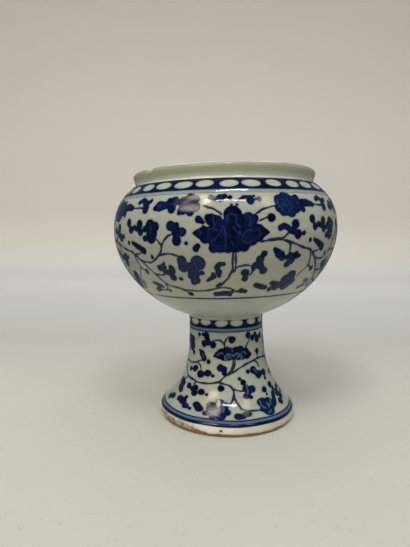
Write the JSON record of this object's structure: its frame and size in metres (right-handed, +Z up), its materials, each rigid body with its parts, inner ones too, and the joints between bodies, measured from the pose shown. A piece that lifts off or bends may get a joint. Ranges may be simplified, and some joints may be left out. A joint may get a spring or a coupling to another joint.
{
  "type": "footed bowl",
  "caption": "Blue and white porcelain footed bowl: deep round bowl with a drawn-in shoulder and a short collar, on a hollow flared pedestal foot",
  "frame": {"origin": "on the table, under the bowl's axis: the centre of the ring that the foot stands on", "axes": "+Z up along the axis of the bowl and its foot. The form is turned, so +X and +Y are alike; -Y faces the viewer of the picture"},
  "size_m": [0.1366, 0.1366, 0.15],
  "materials": {
    "glazed_porcelain": "greenish grey-white glaze over cobalt blue painting, glossy",
    "fired_slip": "fired porcelain slip, off-white"
  },
  "bodies": {
    "root": {"bowl": "glazed_porcelain", "luting_slip": "fired_slip", "foot": "glazed_porcelain"}
  },
  "joints": []
}
